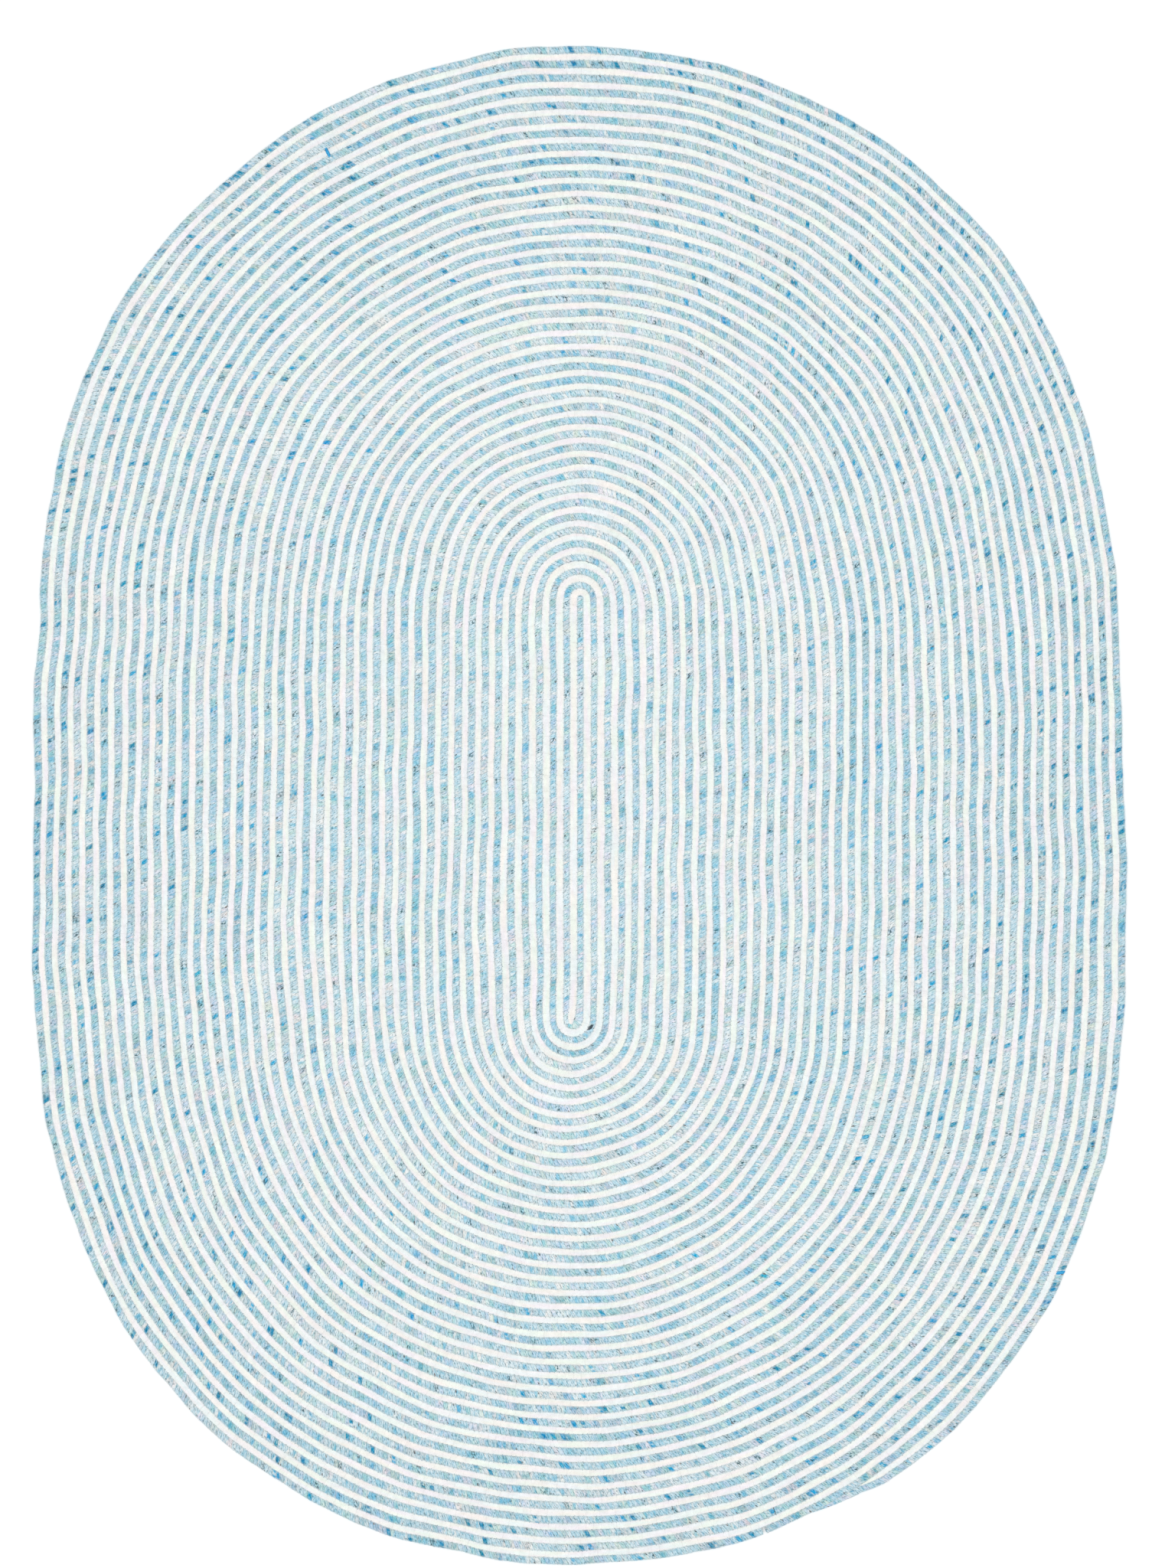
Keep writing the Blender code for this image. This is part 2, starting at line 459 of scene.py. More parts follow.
@dataclass(frozen=True)
class BakeSheet:
    """A flat layout of a cord's surface: cut lengths laid out in rows, the top side given most room."""

    start: float
    end: float
    lay: float
    row_height: float = 0.017
    top_room: float = 2.2
    margin: float = 0.05
    spare: float = 0.01
    cap_places: tuple[float, float] = (0.25, 0.75)
    cap_rings: tuple[float, float, float] = (1.0, 0.6, 0.0)
    cap_size: float = 0.4

    def count(self) -> int:
        """How many rows the length is cut into, so that the layout comes out about square."""
        return max(1, round(math.sqrt((self.end - self.start) / self.row_height)))

    def spread(self, shares: Array, crown: tuple[float, float]) -> Array:
        """Round shares stretched so that the crown, the part seen from above, takes more of a row.

        Args:
            shares: How far round the section each corner is, from 0 to 1.
            crown: The round shares where the seen part begins and ends.

        Returns:
            How far across its row each corner is, from 0 to 1.
        """
        low, high = crown
        sizes = np.array([low, (high - low) * self.top_room, 1 - high])
        at = np.concatenate([[0.0], np.cumsum(sizes)]) / sizes.sum()
        return np.interp(shares, [0.0, low, high, 1.0], at)

    def lay_out(self, lengths: Array, row_lengths: Array, across: Array) -> Array:
        """The layout's place for each corner.

        Args:
            lengths: Length along the cord of each corner.
            row_lengths: The length that picks each corner's row, the same for a whole face.
            across: How far across its row each corner is.

        Returns:
            Layout coordinates from 0 to 1 in the last axis.
        """
        rows = self.count()
        cut = (self.end - self.start) / rows
        row = np.clip(np.floor((row_lengths - self.start) / cut), 0, rows - 1)
        room = cut + 2 * self.lay + 2 * self.spare
        x = (lengths - self.start - row * cut + self.lay + self.spare) / room
        y = (row + self.margin + (1 - 2 * self.margin) * across) / (rows + 1)
        return np.stack([x, y], axis=-1)

    def cap(self, at_end: bool, turns: Array, out: Array) -> Array:
        """The layout's place for an end face: a small disc in the spare row above the others."""
        rows = self.count() + 1
        centre = (self.cap_places[int(at_end)], (rows - 0.5) / rows)
        size = self.cap_size / rows * out
        return np.stack([centre[0] + np.cos(turns) * size, centre[1] + np.sin(turns) * size], axis=-1)


class End(Enum):
    """How a length of cord is closed off: how far its end bulges, in metres."""

    JOINED = 0.0
    CUT = 0.0009
    ROUNDED = 0.0018


@dataclass(frozen=True)
class CordLength:
    """One length of cord as a closed mesh."""

    name: str
    node: str
    cord: Cord
    start: float
    end: float
    first_end: End = End.JOINED
    last_end: End = End.JOINED
    slack: float = 0.0004
    inner_bulge: float = 0.75
    inner_size: float = 0.62

    def build(self, material: bpy.types.Material) -> bpy.types.Object:
        """Makes the piece.

        The surface is a grid of rows along the cord and columns round it. A point of a row that leans past
        an end moves back onto that end's ring, and the triangles that this flattens are left out.

        Args:
            material: The yarn's finish.

        Returns:
            The piece, riding on the rug and standing for its solid.
        """
        cord = self.cord
        rows, columns = cord.rows(self.start, self.end), len(SECTION)
        shares = cord.round_shares()
        lean = round(2 * cord.lay / cord.ply_pitch)
        base = rows[:, None] - cord.lay * shares[None, :columns]
        before, after = base <= self.start + self.slack, base >= self.end - self.slack
        kept = ~before & ~after
        ring = np.arange(columns)
        index = np.cumsum(kept.ravel()).reshape(kept.shape) - 1 + 2 * columns
        index = np.where(before, ring, np.where(after, ring + columns, index))
        row, column = np.nonzero(kept)
        points = np.concatenate(
            [
                cord.skin(np.full(columns, self.start), ring),
                cord.skin(np.full(columns, self.end), ring),
                cord.skin(base[row, column], column),
            ]
        )
        triangles, lengths, rounds, picks = self.walls(rows, index, lean, shares)
        sheet = BakeSheet(self.start, self.end, cord.lay)
        crown = (float(shares[1]), float(shares[-2]))
        flat = sheet.lay_out(lengths, picks, sheet.spread(rounds, crown))
        side = (points, triangles, np.stack([rounds, lengths], axis=-1), flat)
        first_cap = self.close(sheet, False, len(points))
        last_cap = self.close(sheet, True, len(points) + 1 + columns)
        points, faces, yarn_map, bake_map = map(np.concatenate, zip(side, first_cap, last_cap, strict=True))
        piece = Piece(self.name, points, faces).make(material, yarn_map, bake_map)
        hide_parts(self.node)
        return piece

    def walls(self, rows: Array, index: Array, lean: int, shares: Array) -> tuple[Array, Array, Array, Array]:
        """The side's triangles, two for each cell of the grid, without the flattened ones.

        Args:
            rows: Length at which each row crosses the first column.
            index: The point at each row and column.
            lean: How many rows back the surface meets itself after once round.
            shares: How far round each column is, with the first again at the end.

        Returns:
            The triangles, then for each of their corners its length along the cord, its round share, and
            the length that picks its row in the bake layout.
        """
        columns = index.shape[1]
        wide = np.concatenate([index, np.roll(index[:, :1], lean, axis=0)], axis=1)
        wide[:lean, columns] = 0
        # Each corner of a cell's two halves, by how many rows and columns on it is
        halves = np.array([[(0, 0), (1, 0), (1, 1)], [(0, 0), (1, 1), (0, 1)]])
        cells = np.indices((len(rows) - 1, columns)).reshape(2, 1, -1, 1)
        at_row, at_column = (cells + np.moveaxis(halves, -1, 0)[:, :, None]).reshape(2, -1, 3)
        triangles = wide[at_row, at_column]
        whole = (triangles != np.roll(triangles, 1, axis=1)).all(axis=1)
        at_row, at_column, triangles = at_row[whole], at_column[whole], triangles[whole]
        lengths = rows[at_row] - self.cord.lay * shares[at_column]
        lengths = np.clip(lengths, self.start, self.end)
        picks = np.repeat(rows[at_row].min(axis=1)[:, None], 3, axis=1)
        return triangles, lengths, shares[at_column], picks

    def close(self, sheet: BakeSheet, at_end: bool, first: int) -> tuple[Array, Array, Array, Array]:
        """One end face: the end's ring, an inner ring pushed out, and a middle point pushed out further.

        Args:
            sheet: The cord's bake layout.
            at_end: Whether this is the far end.
            first: The index of the end's first new point.

        Returns:
            The new points, the triangles, and their corners' places in the yarn map and the bake layout.
        """
        columns = len(SECTION)
        ring = np.arange(columns)
        after = np.roll(ring, -1)
        bulge = (self.last_end if at_end else self.first_end).value * (1 if at_end else -1)
        length = self.end if at_end else self.start
        inner = self.cord.skin(np.full(columns, length + bulge * self.inner_bulge), ring, self.inner_size)
        middle = self.cord.skin(np.full(columns, length + bulge), ring, 0.0).mean(axis=0)
        # Corners by number: the end's ring, then the inner ring, then the middle point
        corners = np.concatenate(
            [
                np.stack([ring, after, after + columns], axis=1),
                np.stack([ring, after + columns, ring + columns], axis=1),
                np.stack([ring + columns, after + columns, np.full(columns, 2 * columns)], axis=1),
            ]
        )
        if at_end:
            corners = corners[:, ::-1]
        points = np.concatenate([ring + (columns if at_end else 0), first + np.arange(columns + 1)])
        shares = self.cord.round_shares()[:columns]
        rounds = np.concatenate([shares, shares, [0.5]])
        out = np.repeat(sheet.cap_rings, [columns, columns, 1])
        yarn = np.stack([rounds[corners], np.full(corners.shape, length)], axis=-1)
        flat = sheet.cap(at_end, corners % columns * 2 * math.pi / columns, out[corners])
        return np.concatenate([inner, middle[None]]), points[corners], yarn, flat


@dataclass(frozen=True)
class Piece:
    """A closed triangle mesh that becomes an object at the origin."""

    name: str
    points: Array
    faces: Array
    sharp_deg: float = 78.0

    def make(
        self, material: bpy.types.Material, yarn_map: Array, bake_map: Array | None = None
    ) -> bpy.types.Object:
        """Puts the mesh into the scene, smooth but for its end rims.

        Args:
            material: Its finish.
            yarn_map: How far round and how far along the cord each corner is.
            bake_map: The flat layout for baking.

        Returns:
            The new object.
        """
        mesh = bpy.data.meshes.new(self.name)
        mesh.vertices.add(len(self.points))
        mesh.vertices.foreach_set("co", self.points.astype(np.float32).ravel())
        mesh.loops.add(self.faces.size)
        mesh.loops.foreach_set("vertex_index", self.faces.astype(np.int32).ravel())
        mesh.polygons.add(len(self.faces))
        mesh.polygons.foreach_set("loop_start", np.arange(0, self.faces.size, 3, dtype=np.int32))
        mesh.update(calc_edges=True)
        for name, layout in (("Yarn", yarn_map), ("OFBake", bake_map)):
            if layout is not None:
                mesh.uv_layers.new(name=name).uv.foreach_set("vector", layout.astype(np.float32).ravel())
        mesh.shade_smooth()
        mesh.set_sharp_from_angle(angle=math.radians(self.sharp_deg))
        mesh.materials.append(material)
        mesh.validate()
        piece = put(self.name, mesh)
        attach(piece, "root")
        LOG.info("%s: %d triangles", self.name, len(self.faces))
        return piece


# ---------------------------------------------------------------------------------------------------------
# Finishes


class Shade:
    """A number that varies over a surface, with arithmetic that adds the shader's own maths."""

    def __init__(self, graph: Graph, socket: bpy.types.NodeSocket) -> None:
        """Keeps the node tree and the socket that gives the number."""
        self.graph = graph
        self.socket = socket

    def __add__(self, other: Shade | float) -> Shade:
        """This number plus another."""
        return self.graph.maths("ADD", self, other)

    __radd__ = __add__

    def __sub__(self, other: Shade | float) -> Shade:
        """This number less another."""
        return self.graph.maths("SUBTRACT", self, other)

    def __rsub__(self, other: float) -> Shade:
        """A plain number less this one."""
        return self.graph.maths("SUBTRACT", other, self)

    def __mul__(self, other: Shade | float) -> Shade:
        """This number times another."""
        return self.graph.maths("MULTIPLY", self, other)

    __rmul__ = __mul__

    def __truediv__(self, other: Shade | float) -> Shade:
        """This number over another."""
        return self.graph.maths("DIVIDE", self, other)

    def __abs__(self) -> Shade:
        """This number without its sign."""
        return self.graph.maths("ABSOLUTE", self)

    def whole(self) -> Shade:
        """The nearest whole number."""
        return self.graph.maths("ROUND", self)

    def within(self, size: float) -> Shade:
        """What is left over after whole steps of a size."""
        return self.graph.maths("FLOORED_MODULO", self, size)

    def rise(self, low: float, high: float) -> Shade:
        """A soft step from 0 at one value to 1 at another."""
        return self.graph.rise(self, low, high)


class Graph:
    """A material's node tree."""

    def __init__(self, name: str, roughness: float, gloss: float = 0.25) -> None:
        """Starts a matt material.

        Args:
            name: The material's name.
            roughness: The same all over the surface.
            gloss: How much light the surface mirrors.
        """
        self.material = bpy.data.materials.new(name)
        self.material.use_nodes = True
        self.nodes = self.material.node_tree.nodes
        self.links = self.material.node_tree.links
        self.shader = self.nodes["Principled BSDF"]
        self.shader.inputs["Roughness"].default_value = roughness
        self.shader.inputs["Specular IOR Level"].default_value = gloss

    def node(self, kind: str, settings: dict[str, object], inputs: dict[int | str, object]) -> bpy.types.Node:
        """Adds a node.

        Args:
            kind: The node's type.
            settings: Its properties, set before its inputs.
            inputs: Values or links, by socket name or index.

        Returns:
            The node.
        """
        made = self.nodes.new(kind)
        for name, value in settings.items():
            setattr(made, name, value)
        for key, value in inputs.items():
            source = value.socket if isinstance(value, Shade) else value
            if isinstance(source, bpy.types.NodeSocket):
                self.links.new(source, made.inputs[key])
            else:
                made.inputs[key].default_value = source
        return made

    def maths(self, operation: str, *values: Shade | float) -> Shade:
        """The result of one sum on numbers."""
        made = self.node("ShaderNodeMath", {"operation": operation}, dict(enumerate(values)))
        return Shade(self, made.outputs[0])

    def rise(self, value: Shade, low: float, high: float) -> Shade:
        """A soft step from 0 where a value is low to 1 where it is high."""
        made = self.node(
            "ShaderNodeMapRange",
            {"interpolation_type": "SMOOTHSTEP"},
            {"Value": value, "From Min": low, "From Max": high},
        )
        return Shade(self, made.outputs["Result"])

    def cloud(self, x: Shade | float, y: Shade | float, seed: float, detail: float = 2.0) -> Shade:
        """Soft random patches about one unit across in x and y, from 0 to 1 around one half."""
        place = self.node("ShaderNodeCombineXYZ", {}, {"X": x, "Y": y, "Z": seed}).outputs[0]
        made = self.node("ShaderNodeTexNoise", {}, {"Vector": place, "Scale": 1.0, "Detail": detail})
        return Shade(self, made.outputs["Fac"])

    def chance(self, number: Shade) -> Shade:
        """A random number from 0 to 1 for each whole number."""
        made = self.node("ShaderNodeTexWhiteNoise", {"noise_dimensions": "1D"}, {"W": number})
        return Shade(self, made.outputs["Value"])

    def blend(self, share: Shade | float, first: object, second: object) -> bpy.types.NodeSocket:
        """A colour part of the way from one to another."""
        made = self.node("ShaderNodeMix", {"data_type": "RGBA"}, {0: share, 6: first, 7: second})
        return made.outputs[2]

    def dim(self, colour: object, share: Shade) -> bpy.types.NodeSocket:
        """A colour times a number."""
        made = self.node("ShaderNodeVectorMath", {"operation": "SCALE"}, {0: colour, "Scale": share})
        return made.outputs[0]

    def filter(self, colour: object, tint: object) -> bpy.types.NodeSocket:
        """A colour seen through another: one times the other."""
        made = self.node("ShaderNodeVectorMath", {"operation": "MULTIPLY"}, {0: colour, 1: tint})
        return made.outputs[0]

    def along_and_round(self) -> tuple[Shade, Shade]:
        """The cord's own coordinates: how far round its section, and how far along it in metres."""
        layout = self.node("ShaderNodeUVMap", {"uv_map": "Yarn"}, {})
        parts = self.node("ShaderNodeSeparateXYZ", {}, {0: layout.outputs[0]})
        return Shade(self, parts.outputs["X"]), Shade(self, parts.outputs["Y"])

    def finish(self, colour: bpy.types.NodeSocket, height: Shade, depth: float) -> bpy.types.Material:
        """Joins the colour and the fine relief to the shader.

        Args:
            colour: The surface colour.
            height: The fine relief, from 0 to 1.
            depth: The relief's depth in metres.

        Returns:
            The material.
        """
        bump = self.node("ShaderNodeBump", {}, {"Height": height, "Distance": depth, "Strength": 1.0})
        self.links.new(colour, self.shader.inputs["Base Color"])
        self.links.new(bump.outputs["Normal"], self.shader.inputs["Normal"])
        return self.material


class Grain(Enum):
    """What a random pattern on the roped cord follows: its fibres, or the cord with a step at each ply."""

    FIBRES = "fibres"
    PLIES = "plies"


@dataclass(frozen=True)
class Pattern:
    """A soft random pattern on the roped cord, and the values between which it comes up.

    Its patches are about as long as its length. Their breadth is in metres across the fibres. From ply to
    ply it is the share of a patch that one ply takes up, and 0 makes the plies alike.
    """

    grain: Grain
    length: float
    breadth: float
    seed: float
    detail: float = 2.0
    low: float = 0.0
    high: float = 1.0


class RopedSurface:
    """The roped cord's own coordinates in a material's node tree.

    A point's ply number is its length along the cord, plus the lay times its share of the way round, over
    the ply pitch. The nearest whole number names the ply, and twice the rest is 0 on the ply's crest and 1
    in the groove.
    """

    def __init__(self, graph: Graph, cord: Cord) -> None:
        """Works out the coordinates.

        Args:
            graph: The material's node tree.
            cord: The roped cord.
        """
        self.graph = graph
        self.pitch = cord.ply_pitch
        around, self.along = graph.along_and_round()
        self.ply = (self.along + around * cord.lay) / self.pitch
        self.turn = self.ply.whole()
        self.off_crest = abs(self.ply - self.turn) * 2
        self.on_ply = around * cord.girth()
        self.offset = (around - cord.crown_middle()) * cord.girth()
        self.side = abs(self.offset) / cord.width

    def cloud(self, pattern: Pattern) -> Shade:
        """A pattern's own value, from 0 to 1 around one half."""
        if pattern.grain is Grain.FIBRES:
            x, y = self.ply * (self.pitch / pattern.breadth), self.on_ply / pattern.length
        else:
            x, y = self.along / pattern.length, self.turn * pattern.breadth
        return self.graph.cloud(x, y, pattern.seed, pattern.detail)

    def show(self, pattern: Pattern) -> Shade:
        """How strongly a pattern comes up, from 0 to 1."""
        return self.cloud(pattern).rise(pattern.low, pattern.high)

    def draw(self, shift: float = 0.0) -> Shade:
        """A random number from 0 to 1 for each ply, and another one for each shift."""
        return self.graph.chance(self.turn + shift if shift else self.turn)


@dataclass(frozen=True)
class HeatherTone:
    """One of the colours spun into the blue yarn, how strong it is, and where it comes up."""

    colour: Colour
    strength: float
    pattern: Pattern


@dataclass(frozen=True)
class CoreFleck:
    """The nearly black fleck on the blue cord's second bend round the foot, a slanting oval.

    With x outwards and y along the cord from its middle, the oval is where (p / half its length) squared
    plus (q / half its width) squared is under 1. Here p and q are x and y turned to its slant.
    """

    bend: int = 3
    along_deg: float = 27.0
    outward: float = -0.0026
    slant: float = -1.40
    half_length: float = 0.0078
    half_width: float = 0.0031
    grain: float = 0.0018
    raggedness: float = 1.1
    share: float = 0.93

    def show(self, yarn: RopedSurface, winding: Winding) -> Shade:
        """How strongly the fleck shows.

        Args:
            yarn: The roped cord's coordinates.
            winding: The cord's route.

        Returns:
            The full share on the fleck, falling softly to 0 around it.
        """
        x = yarn.offset - self.outward
        y = yarn.along - winding.length_at(self.bend, self.along_deg)
        size = math.hypot(1.0, self.slant)
        p = (x + y * self.slant) / (size * self.half_length)
        q = (y - x * self.slant) / (size * self.half_width)
        ragged = yarn.graph.cloud(yarn.along / self.grain, yarn.offset / self.grain, 33.0, 1.0) - 0.5
        return (1.0 - (p * p + q * q + ragged * self.raggedness).rise(0.55, 1.15)) * self.share


@dataclass(frozen=True)
class RopedYarn:
    """Heathered blue yarn: plies with painted groove shade, pale and deep fibres mixed, slubs and dark
    flecks.

    The share of deep fibres changes from fibre to fibre, from ply to ply, over patches and over long
    lengths. The other tones come up in patches, bare wisps hold hardly any deep fibre, and a few plies are
    bright slubs from edge to edge. Painted shade lies between the fibres and massed on a few plies, painted
    highlights speck the fibres, and the top's rims get stray fuzz, painted seam shade and painted light. The
    yarn by the core is a little paler, with fewer slubs, than the yarn of the outer rounds.
    """

    cord: Cord
    pale: Colour = display(237, 238, 236)
    deep: Colour = display(114, 188, 214)
    slub: Colour = display(8, 164, 210)
    # Painted shade between the fibres
    shadow: Colour = display(58, 90, 98)
    fleck: Colour = display(40, 50, 60)
    brown: Colour = display(106, 92, 86)
    # Painted highlight specks on the fibres
    highlight_speck: Colour = display(232, 242, 246)
    # Rim grey: stray fuzz and painted seam shade
    rim: Colour = display(190, 193, 190)
    tones: tuple[HeatherTone, ...] = (
        HeatherTone(display(162, 208, 200), 0.50, Pattern(Grain.PLIES, 0.022, 0.30, 7.9, 2.0, 0.51, 0.66)),
        HeatherTone(display(192, 203, 228), 0.55, Pattern(Grain.PLIES, 0.027, 0.30, 13.1, 2.0, 0.53, 0.67)),
        HeatherTone(display(180, 192, 196), 0.60, Pattern(Grain.PLIES, 0.034, 0.30, 21.7, 2.0, 0.48, 0.70)),
        HeatherTone(display(96, 184, 214), 0.70, Pattern(Grain.PLIES, 0.016, 0.30, 34.9, 2.0, 0.56, 0.68)),
    )
    core_fleck: CoreFleck = CoreFleck()

    # Patterns: what they follow, length, breadth, seed, detail, and where they come up
    fibres: Pattern = Pattern(Grain.FIBRES, 0.0042, 0.0016, 5.0, 1.5)
    patches: Pattern = Pattern(Grain.PLIES, 0.028, 0.22, 8.0, 1.0)
    stretches: Pattern = Pattern(Grain.PLIES, 0.90, 0.0, 3.0)
    wisps: Pattern = Pattern(Grain.PLIES, 0.013, 0.30, 47.3, 2.0, 0.58, 0.66)
    dots: Pattern = Pattern(Grain.FIBRES, 0.0036, 0.0017, 20.0, 1.0)
    spots: Pattern = Pattern(Grain.FIBRES, 0.0070, 0.0034, 50.0, 0.0, 0.778, 0.812)
    kinds: Pattern = Pattern(Grain.PLIES, 0.05, 0.0, 60.0, 0.0, 0.45, 0.55)

    # How much of the surface is deep fibre, and how much that changes
    deep_share: float = 0.511
    deeper_per_metre: float = 0.0003
    by_fibre: float = 0.76
    by_ply: float = 0.15
    by_patch: float = 0.46
    by_length: float = 0.72
    bare_share: float = 0.24

    # Slubs: the share of the plies at the core, its growth, and how softly they set in
    slub_share: float = 0.015
    slubs_per_metre: float = 0.0007
    slub_softness: float = 0.05
    deepest_from: float = 0.055
    deepest_softness: float = 0.006

    # How strongly the flecks show: painted shade dots, painted highlight specks, painted shade on plies, dark
    # spots
    shadow_share: float = 0.60
    highlight_speck_share: float = 0.26
    shade_ply_share: float = 0.90
    spot_share: float = 0.86

    # Lightness: the yarn's own tone, painted shade in strokes, grooves and strands, painted rim shade and
    # light, relief
    brightness: float = 1.085
    darker_per_metre: float = 0.0006
    mottle_shade: float = 0.06
    stroke_shade: float = 0.18
    deepest_shade: float = 0.24
    bare_shade: float = 0.05
    groove_shade: float = 0.18
    strand_shade: float = 0.07
    # Rim grey of stray fuzz and painted seam shade, and painted light at the rim edge against the shoulders'
    # shading
    rim_fuzz_and_shade_share: float = 0.42
    edge_light: float = 0.20
    relief: float = 0.00035

    def make(self) -> bpy.types.Material:
        """Builds the finish.

        Returns:
            The material.
        """
        graph = Graph("heathered_blue_yarn", 0.92)
        yarn = RopedSurface(graph, self.cord)
        fibre, bare = yarn.cloud(self.fibres), yarn.show(self.wisps)
        part = self.part_of_ply(yarn, fibre)
        picked = yarn.draw(0.5) + yarn.along * self.slubs_per_metre + (self.slub_share - 1.0)
        deepest = picked.rise(self.deepest_from, self.deepest_from + self.deepest_softness) * part
        colour = graph.blend(self.deep_fibres(yarn, fibre, bare), self.pale, self.deep)
        for tone in self.tones:
            colour = self.tint(yarn, colour, tone.colour, yarn.show(tone.pattern) * tone.strength)
        colour = self.tint(yarn, colour, self.slub, picked.rise(0.0, self.slub_softness) * part)
        colour = self.flecked(yarn, colour, part)
        # Painted shade in the fibre strokes and the grooves, then painted rim shade and light
        light = self.light(yarn) - fibre.rise(0.46, 0.72) * self.stroke_shade
        light = light - deepest * self.deepest_shade - bare * self.bare_shade
        colour = self.rimmed(yarn, graph.dim(colour, light * (1.0 - self.grooves(yarn))))
        round_ply = 1.0 - yarn.off_crest * yarn.off_crest
        return graph.finish(colour, fibre * 0.5 + round_ply * 0.5, self.relief)

    def part_of_ply(self, yarn: RopedSurface, fibre: Shade) -> Shade:
        """How much of a slub or of a ply's painted shade shows: in ragged parts, and not in the grooves."""
        parts = yarn.graph.cloud(yarn.on_ply / 0.006, yarn.turn * 7.3, 0.0, 0.0)
        on_crest = 1.0 - yarn.off_crest.rise(0.6, 1.1)
        return parts.rise(0.30, 0.55) * on_crest * (0.70 + fibre.rise(0.34, 0.60) * 0.50)

    def deep_fibres(self, yarn: RopedSurface, fibre: Shade, bare: Shade) -> Shade:
        """The share of deep fibres, with soft limits: the usual share and every swing about it."""
        deep = self.deep_share + (fibre - 0.5) * self.by_fibre + (yarn.draw() - 0.5) * self.by_ply
        deep = deep + (yarn.cloud(self.patches) - 0.5) * self.by_patch
        deep = deep + (yarn.cloud(self.stretches) - 0.5) * self.by_length
        deep = deep + yarn.along * self.deeper_per_metre - bare * self.bare_share
        return deep.rise(0.0, 1.0)

    def tint(self, yarn: RopedSurface, colour: object, tone: Colour, shows: Shade) -> bpy.types.NodeSocket:
        """A colour with a tone over it, so that the yarn's usual colour would turn into the tone.

        Args:
            yarn: The roped cord's coordinates.
            colour: The colour so far.
            tone: The tone.
            shows: How strongly it shows.

        Returns:
            The tinted colour.
        """
        usual = (np.array(self.pale) + np.array(self.deep)) / 2
        none = (1.0, 1.0, 1.0, 1.0)
        return yarn.graph.filter(colour, yarn.graph.blend(shows, none, tuple(np.array(tone) / usual)))

    def flecked(self, yarn: RopedSurface, colour: object, part: Shade) -> bpy.types.NodeSocket:
        """A colour with painted shade and painted highlight specks on the fibres, shaded plies and dark
        spots.

        Args:
            yarn: The roped cord's coordinates.
            colour: The colour so far.
            part: How much of a ply's painted shade shows.

        Returns:
            The flecked colour.
        """
        graph, dots = yarn.graph, yarn.cloud(self.dots)
        shade_ply = yarn.draw(0.75).rise(0.945, 0.975) * part
        # Painted shade between the fibres, painted highlight specks, and painted shade massed on a few plies
        colour = graph.blend(dots.rise(0.56, 0.68) * self.shadow_share, colour, self.shadow)
        colour = graph.blend(dots.rise(0.42, 0.32) * self.highlight_speck_share, colour, self.highlight_speck)
        colour = graph.blend(dots.rise(0.44, 0.58) * shade_ply * self.shade_ply_share, colour, self.shadow)
        dark = graph.blend(yarn.show(self.kinds), self.fleck, self.brown)
        colour = graph.blend(yarn.show(self.spots) * self.spot_share, colour, dark)
        return graph.blend(self.core_fleck.show(yarn, self.cord.winding), colour, self.fleck)

    def light(self, yarn: RopedSurface) -> Shade:
        """How light the yarn is: darker towards the outer rounds, and a little mottled."""
        mottle = yarn.graph.cloud(yarn.along / 0.011, yarn.turn * 0.5 + yarn.on_ply / 0.012, 70.0, 1.0)
        return self.brightness - yarn.along * self.darker_per_metre + (mottle - 0.5) * self.mottle_shade

    def grooves(self, yarn: RopedSurface) -> Shade:
        """The shade in the grooves between the plies, and on each side of the line that halves a ply."""
        halves = yarn.ply * 2.0
        strand = abs(halves - halves.whole()) * 2
        return yarn.off_crest.rise(0.60, 1.0) * self.groove_shade + strand.rise(0.45, 0.0) * self.strand_shade

    def rimmed(self, yarn: RopedSurface, colour: object) -> bpy.types.NodeSocket:
        """A colour with greyer top rims, of stray fuzz and painted seam shade, and painted light at their
        edge.
        """
        on_top = 1.0 - yarn.side.rise(0.52, 0.72)
        # Painted seam shade with stray fuzz towards the rims, and painted light at their edge to offset
        # shading
        fuzz_and_shade = yarn.side.rise(0.20, 0.50) * on_top * self.rim_fuzz_and_shade_share
        edge = yarn.side.rise(0.38, 0.50) * on_top
        return yarn.graph.dim(yarn.graph.blend(fuzz_and_shade, colour, self.rim), 1.0 + edge * self.edge_light)


